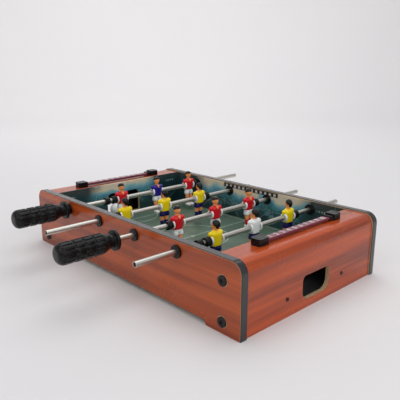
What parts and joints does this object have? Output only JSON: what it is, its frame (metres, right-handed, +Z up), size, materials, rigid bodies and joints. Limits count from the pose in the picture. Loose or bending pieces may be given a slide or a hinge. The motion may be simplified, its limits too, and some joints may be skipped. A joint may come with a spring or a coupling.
{
  "type": "tabletop foosball table",
  "caption": "Small tabletop football game: wood-grain box with sunken pitch, sliding and spinning player rods, goals with ball outlets, and sliding scorers.",
  "frame": {"origin": "middle of the box, on the surface that the feet stand on", "axes": "+Z up, +Y from the handles' side to the far side, +X towards the right goal"},
  "size_m": [0.51, 0.5324, 0.113],
  "materials": {
    "wood_laminate": "glossy wood-grain foil over fibreboard",
    "fibreboard": "raw fibreboard and softwood",
    "edge_plastic": "satin black edging strip",
    "printed_board": "printed paper on hardboard",
    "pitch": "printed pitch with white lines, satin",
    "rod_steel": "bright plated steel tube",
    "fastener_black": "black oxide",
    "fastener_zinc": "zinc plated",
    "black_plastic": "moulded black plastic",
    "black_rubber": "black rubber",
    "tray_plastic": "black moulded tray",
    "scorer_print": "maroon bar with white digits",
    "player_red": "painted player, red shirt",
    "player_yellow": "painted player, yellow shirt",
    "keeper_blue": "painted keeper, blue shirt",
    "keeper_white": "painted keeper, white shirt",
    "ball_plastic": "plain white ball with fine seams"
  },
  "bodies": {
    "table": {"side_panel_near": "wood_laminate", "side_panel_far": "wood_laminate", "edge_band_near": "edge_plastic", "edge_band_far": "edge_plastic", "side_liner_near": "printed_board", "side_liner_far": "printed_board", "playfield_board": "pitch", "playfield_battens": "fibreboard", "end_panel_left": "wood_laminate", "end_panel_right": "wood_laminate", "goal_wall_left": "printed_board", "goal_wall_right": "printed_board", "ball_tray_left": "tray_plastic", "ball_tray_right": "tray_plastic", "corner_posts": "fibreboard", "panel_bolts": "fastener_black", "barrel_nuts": "fastener_zinc", "end_panel_screws": "fastener_black", "bushings_near": "black_plastic", "bushings_far": "black_plastic", "bushing_collars_near": "black_plastic", "bushing_collars_far": "black_plastic", "scorer_bar_left": "scorer_print", "scorer_bar_right": "scorer_print", "scorer_caps_left": "black_plastic", "scorer_caps_right": "black_plastic", "scorer_screws": "fastener_zinc"},
    "rod_1_carriage": {"rod_1_bumpers": "black_rubber"},
    "rod_1": {"rod_1_tube": "rod_steel", "rod_1_player_near": "player_red", "rod_1_player_middle": "keeper_blue", "rod_1_player_far": "player_red", "rod_1_player_screws": "fastener_zinc", "rod_1_handle": "black_plastic", "rod_1_stop_collar": "black_rubber"},
    "rod_2_carriage": {"rod_2_bumpers": "black_rubber"},
    "rod_2": {"rod_2_tube": "rod_steel", "rod_2_player_near": "player_yellow", "rod_2_player_middle": "player_yellow", "rod_2_player_far": "player_yellow", "rod_2_player_screws": "fastener_zinc"},
    "rod_3_carriage": {"rod_3_bumpers": "black_rubber"},
    "rod_3": {"rod_3_tube": "rod_steel", "rod_3_player_near": "player_red", "rod_3_player_middle": "player_red", "rod_3_player_far": "player_red", "rod_3_player_screws": "fastener_zinc", "rod_3_handle": "black_plastic"},
    "rod_4_carriage": {"rod_4_bumpers": "black_rubber"},
    "rod_4": {"rod_4_tube": "rod_steel", "rod_4_player_near": "player_yellow", "rod_4_player_middle": "keeper_white", "rod_4_player_far": "player_yellow", "rod_4_player_screws": "fastener_zinc", "rod_4_stop_collar": "black_rubber"},
    "scorer_slider_left": {"scorer_slider_left": "black_plastic"},
    "scorer_slider_right": {"scorer_slider_right": "black_plastic"},
    "ball": {"ball": "ball_plastic"}
  },
  "joints": [
    {"name": "rod_1_slide", "type": "slide", "parent": "table", "child": "rod_1_carriage", "axis": [0, 1, 0], "range_m": [-0.05242, 0.00068]},
    {"name": "rod_1_spin", "type": "hinge", "parent": "rod_1_carriage", "child": "rod_1", "pos_m": [-0.14025, 0, 0.0845], "axis": [0, 1, 0], "continuous": true},
    {"name": "rod_2_slide", "type": "slide", "parent": "table", "child": "rod_2_carriage", "axis": [0, 1, 0], "range_m": [-0.01014, 0.05746]},
    {"name": "rod_2_spin", "type": "hinge", "parent": "rod_2_carriage", "child": "rod_2", "pos_m": [-0.04675, 0, 0.0845], "axis": [0, 1, 0], "continuous": true},
    {"name": "rod_3_slide", "type": "slide", "parent": "table", "child": "rod_3_carriage", "axis": [0, 1, 0], "range_m": [-0.04157, 0.02603]},
    {"name": "rod_3_spin", "type": "hinge", "parent": "rod_3_carriage", "child": "rod_3", "pos_m": [0.04675, 0, 0.0845], "axis": [0, 1, 0], "continuous": true},
    {"name": "rod_4_slide", "type": "slide", "parent": "table", "child": "rod_4_carriage", "axis": [0, 1, 0], "range_m": [-0.01761, 0.03549]},
    {"name": "rod_4_spin", "type": "hinge", "parent": "rod_4_carriage", "child": "rod_4", "pos_m": [0.14025, 0, 0.0845], "axis": [0, 1, 0], "continuous": true},
    {"name": "scorer_left_slide", "type": "slide", "parent": "table", "child": "scorer_slider_left", "axis": [0, 1, 0], "range_m": [-0.138, 0.0006]},
    {"name": "scorer_right_slide", "type": "slide", "parent": "table", "child": "scorer_slider_right", "axis": [0, 1, 0], "range_m": [-0.138, 0.0006]},
    {"name": "ball_roll", "type": "slide", "parent": "table", "child": "ball", "axis": [1, 0, 0], "range_m": [-0.034, 0.014]}
  ]
}
